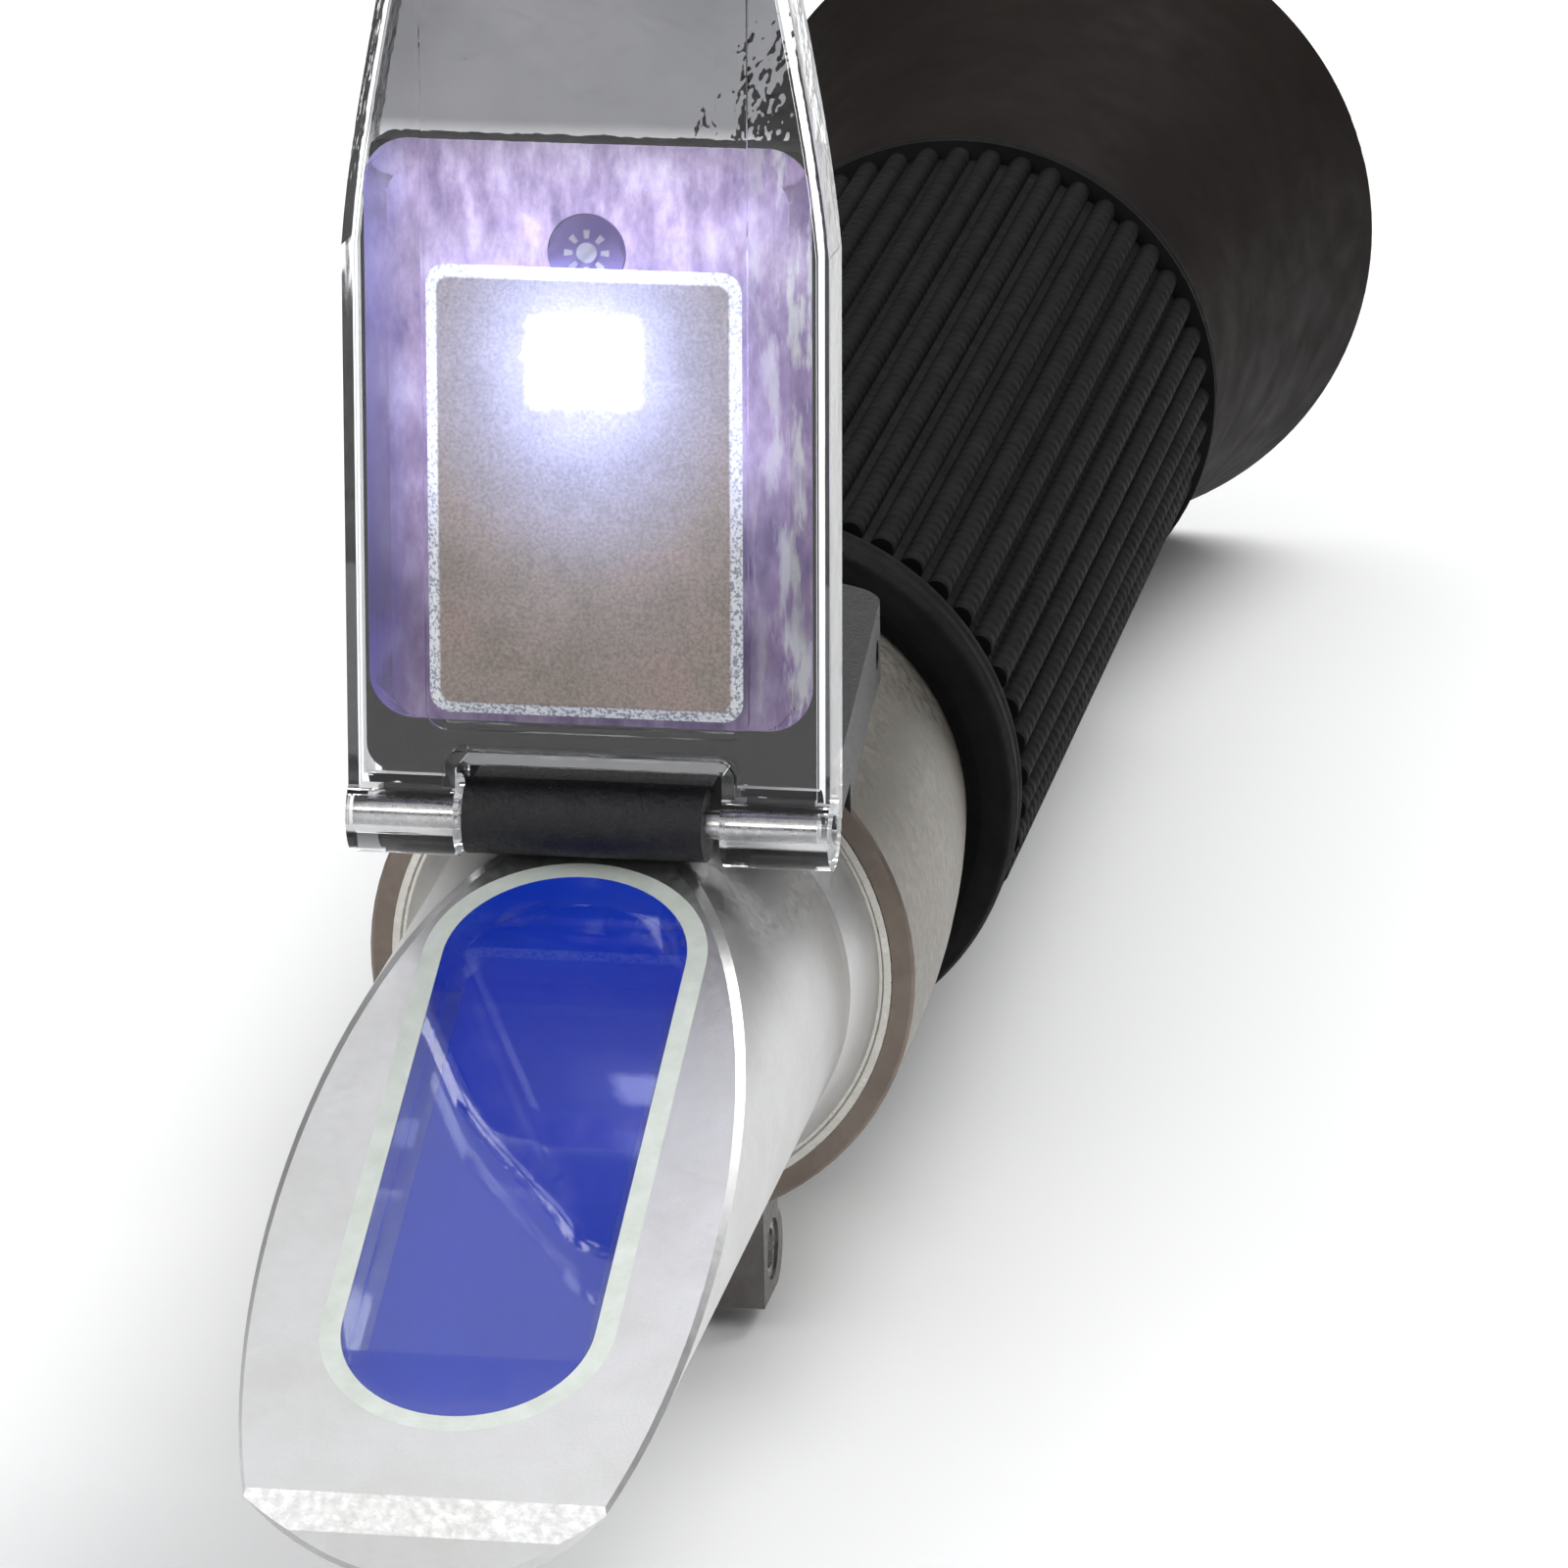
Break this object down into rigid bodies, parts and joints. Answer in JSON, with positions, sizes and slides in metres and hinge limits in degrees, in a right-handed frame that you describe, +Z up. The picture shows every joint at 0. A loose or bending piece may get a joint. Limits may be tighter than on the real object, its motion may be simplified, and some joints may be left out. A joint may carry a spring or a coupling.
{
  "type": "handheld refractometer",
  "caption": "Handheld refractometer with ribbed grip, eyecup, slanted prism head and an open hinged clear daylight plate carrying a lamp.",
  "frame": {"origin": "centre of the footprint, on the level of the eyecup rim's lowest point", "axes": "+Y along the body towards the eyepiece, +Z up through the prism face, +X to the right seen from the nose"},
  "size_m": [0.0361, 0.1769, 0.0744],
  "materials": {
    "head_metal": "bead blasted and silver anodised",
    "tube_metal": "satin silver anodised",
    "lock_ring_metal": "turned, bright",
    "prism_glass": "polished optical glass",
    "prism_blue": "deep blue mask behind the prism",
    "seal_ivory": "smooth cast seal",
    "saddle_black": "moulded, fine texture",
    "steel": "ground",
    "lug_metal": "dark satin anodised",
    "grip_rubber": "ribbed, matte",
    "cup_rubber": "smooth, satin",
    "plug_rubber": "smooth",
    "plate_clear": "clear moulded acrylic",
    "pad_frosted": "frosted acrylic",
    "adhesive_lavender": "mottled adhesive layer",
    "mark_purple": "printed",
    "lamp_black": "moulded",
    "board_green": "solder resist",
    "cell_steel": "nickel plated",
    "led_white": "moulded",
    "button_grey": "moulded",
    "brass": "turned",
    "lens_glass": "polished",
    "black_metal": "black anodised, matte",
    "spring_steel": "drawn wire",
    "led_glow": "lit phosphor"
  },
  "bodies": {
    "frame": {"prism_head": "head_metal", "prism": "prism_glass", "prism_mask": "prism_blue", "prism_seal": "seal_ivory", "main_tube": "tube_metal", "lock_ring": "lock_ring_metal", "hinge_saddle": "saddle_black", "saddle_set_screws": "steel", "hinge_pin": "steel", "foot_lug": "lug_metal", "foot_pin": "steel", "grip_sleeve": "grip_rubber", "objective_cell": "brass", "objective_lens": "lens_glass", "objective_ring": "black_metal", "objective_spring": "spring_steel", "spring_stop": "black_metal", "bimetal_strip": "brass", "strip_screw": "steel", "baffle_ring": "black_metal", "reticle_seat": "black_metal", "reticle": "lens_glass", "reticle_ring": "black_metal"},
    "daylight_flap": {"daylight_plate": "plate_clear", "diffuser_pad": "pad_frosted", "adhesive_layer": "adhesive_lavender", "button_mark": "mark_purple", "lamp_housing": "lamp_black", "lamp_board": "board_green", "coin_cell": "cell_steel", "cell_holder": "steel", "led_case": "led_white", "led_phosphor": "led_glow", "switch_dome": "spring_steel"},
    "lamp_button": {"push_button": "button_grey"},
    "calibration_screw": {"calibration_screw": "brass"},
    "screw_plug": {"screw_plug": "plug_rubber"},
    "focus_carriage": {"guide_ring": "brass"},
    "eyepiece": {"focus_barrel": "black_metal", "barrel_nut": "black_metal", "field_lens": "lens_glass", "field_ring": "black_metal", "eye_lens": "lens_glass", "eye_lens_ring": "black_metal", "eyecup": "cup_rubber"}
  },
  "joints": [
    {"name": "daylight_plate_hinge", "type": "hinge", "parent": "frame", "child": "daylight_flap", "pos_m": [0, -0.05045, 0.029], "axis": [1, 0, 0], "range_deg": [0, 116.1]},
    {"name": "lamp_button_press", "type": "slide", "parent": "daylight_flap", "child": "lamp_button", "axis": [0, -0.9973, 0.0739], "range_m": [0, 0.00025], "stiffness_N_per_m": 2000, "deforming": ["switch_dome"]},
    {"name": "screw_plug_pull", "type": "slide", "parent": "frame", "child": "screw_plug", "axis": [0, 0, 1], "range_m": [0, 0.008]},
    {"name": "calibration_turn", "type": "hinge", "parent": "frame", "child": "calibration_screw", "pos_m": [0, -0.02545, 0.02905], "axis": [0, 0, 1], "range_deg": [-45, 45]},
    {"name": "focus_slide", "type": "slide", "parent": "frame", "child": "focus_carriage", "axis": [0, 1, 0], "range_m": [-0.00121, 0.00241]},
    {"name": "focus_turn", "type": "hinge", "parent": "focus_carriage", "child": "eyepiece", "pos_m": [0, 0.06505, 0.01805], "axis": [0, 1, 0], "range_deg": [-108, 216]}
  ],
  "couplings": [
    {"joint": "focus_slide", "follows": "focus_turn", "m_per_rad": 0.000636}
  ]
}
